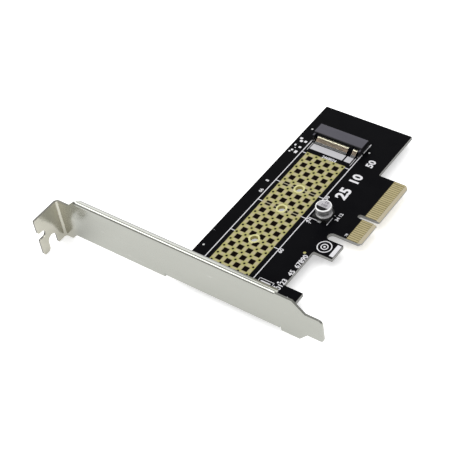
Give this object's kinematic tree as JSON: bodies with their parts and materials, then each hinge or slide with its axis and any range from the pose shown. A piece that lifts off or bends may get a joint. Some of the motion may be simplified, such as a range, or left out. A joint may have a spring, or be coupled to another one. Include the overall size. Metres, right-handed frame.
{
  "type": "storage module adapter card",
  "caption": "Slotted circuit board with a socket for a storage module, a gold heat pad, a keyed edge connector and a full-height folded steel bracket.",
  "frame": {"origin": "centre of the bounding box in plan, at its lowest point (lower end of the bracket tab)", "axes": "+Z out of the board's component face; +X from the bracket's folded tab towards its tongue, which is also the way the edge connector points; +Y from the bracket towards the far end of the board"},
  "size_m": [0.12, 0.1178, 0.0216],
  "materials": {
    "board": "black solder mask, satin",
    "bracket_steel": "bright zinc plate, satin",
    "screw_steel": "zinc plate",
    "socket_plastic": "matt moulded",
    "gold": "thin gold plate",
    "pad_gold": "immersion gold, pale",
    "tin": "tinned",
    "can_aluminium": "satin",
    "base_plastic": "moulded",
    "print_white": "white printing ink"
  },
  "bodies": {
    "root": {"circuit_board": "board", "bracket": "bracket_steel", "bracket_screws": "screw_steel", "socket_housing": "socket_plastic", "socket_lower_contacts": "gold", "socket_upper_contacts": "gold", "socket_hold_downs": "tin", "socket_lands": "tin", "capacitor_can": "can_aluminium", "capacitor_base": "base_plastic", "capacitor_leads": "tin", "capacitor_lands": "tin", "edge_contacts_top": "gold", "edge_contacts_bottom": "gold", "heat_pad": "pad_gold", "fiducials": "tin", "test_pad": "gold", "legend_lines": "print_white", "legend_blocks": "print_white"}
  },
  "joints": []
}
